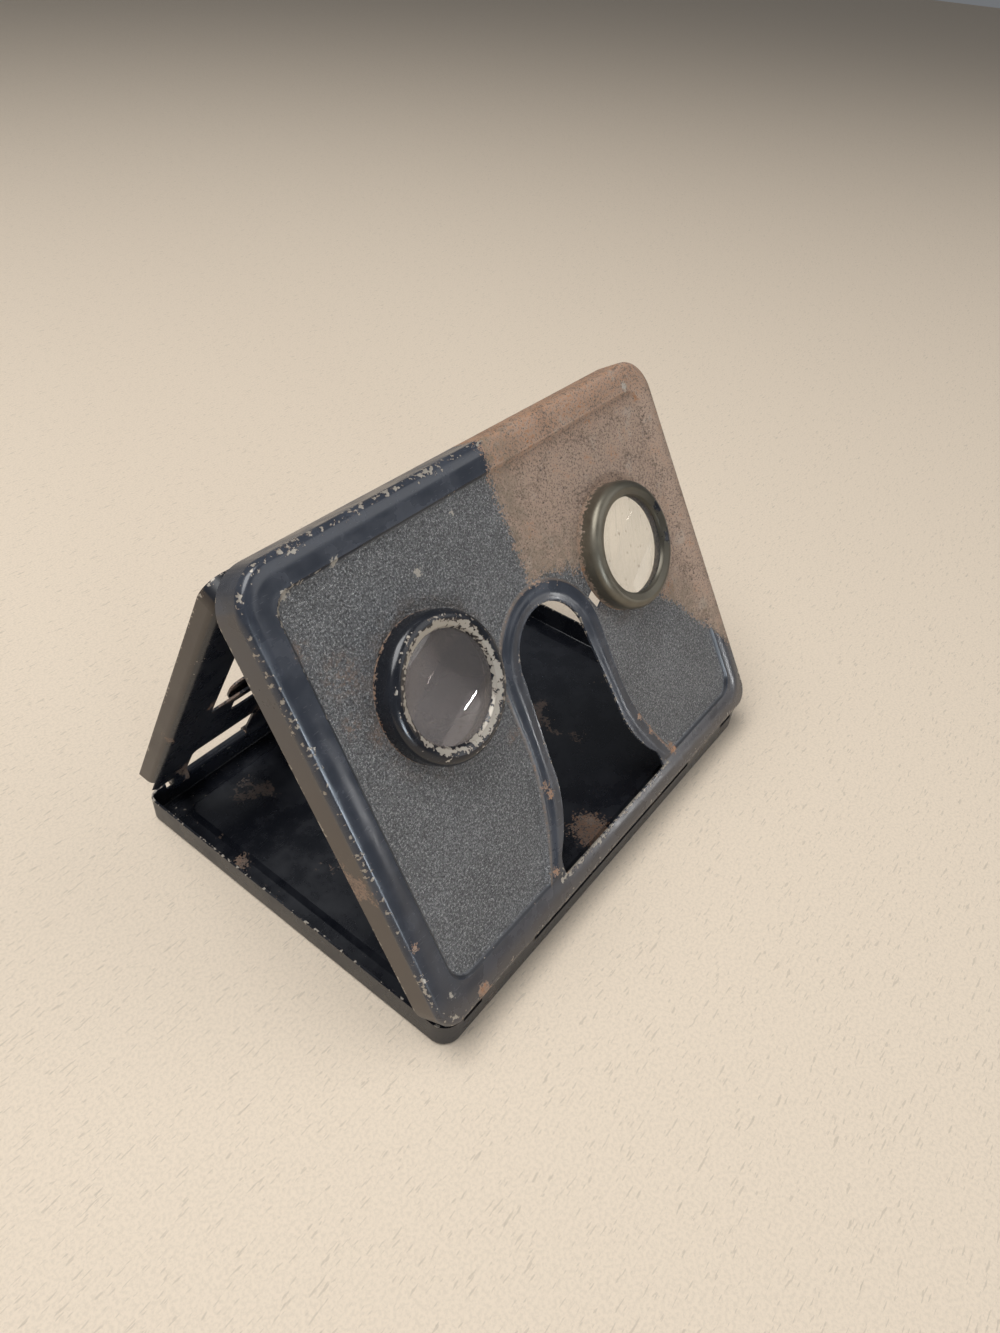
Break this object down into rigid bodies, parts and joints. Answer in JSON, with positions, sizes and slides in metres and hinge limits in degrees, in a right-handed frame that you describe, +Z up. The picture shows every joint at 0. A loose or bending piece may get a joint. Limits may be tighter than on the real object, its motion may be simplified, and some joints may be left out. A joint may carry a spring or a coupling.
{
  "type": "folding stereoscope",
  "caption": "Pocket viewer for stereo pictures: two lenses in a hinged tinplate plate, a framed card plate facing them and a shallow tray that both fold down onto.",
  "frame": {"origin": "centre of the bounding box in plan, on the table that the tray stands on, with the plates leaning on each other", "axes": "+X along the hinges, from the viewer's left eye to the right, -Y out of the lens plate towards the viewer, +Z up"},
  "size_m": [0.1246, 0.0924, 0.0883],
  "materials": {
    "tray_lacquer": "worn blue-black lacquer with rust",
    "lens_plate_lacquer": "fine crackle lacquer in the field, gloss on the border, chipped and rusted",
    "card_plate_lacquer": "worn blue-black gloss lacquer",
    "hinge_wire": "dull, rusted",
    "left_glass": "clouded",
    "right_glass": "clear",
    "left_rim_lacquer": "black, chipped to bare tin",
    "right_rim_metal": "bare, dull, with remains of black"
  },
  "bodies": {
    "base": {"base_tray": "tray_lacquer", "front_hinge_wire": "hinge_wire", "rear_hinge_wire": "hinge_wire"},
    "lens_side": {"lens_plate": "lens_plate_lacquer", "left_lens": "left_glass", "right_lens": "right_glass", "left_lens_rim": "left_rim_lacquer", "right_lens_rim": "right_rim_metal"},
    "card_side": {"card_plate": "card_plate_lacquer"}
  },
  "joints": [
    {"name": "lens_plate_fold", "type": "hinge", "parent": "base", "child": "lens_side", "pos_m": [0, -0.04418, 0.0067], "axis": [1, 0, 0], "range_deg": [0, 31.55]},
    {"name": "card_plate_fold", "type": "hinge", "parent": "base", "child": "card_side", "pos_m": [0, 0.04367, 0.0067], "axis": [-1, 0, 0], "range_deg": [0, 27.2]}
  ]
}
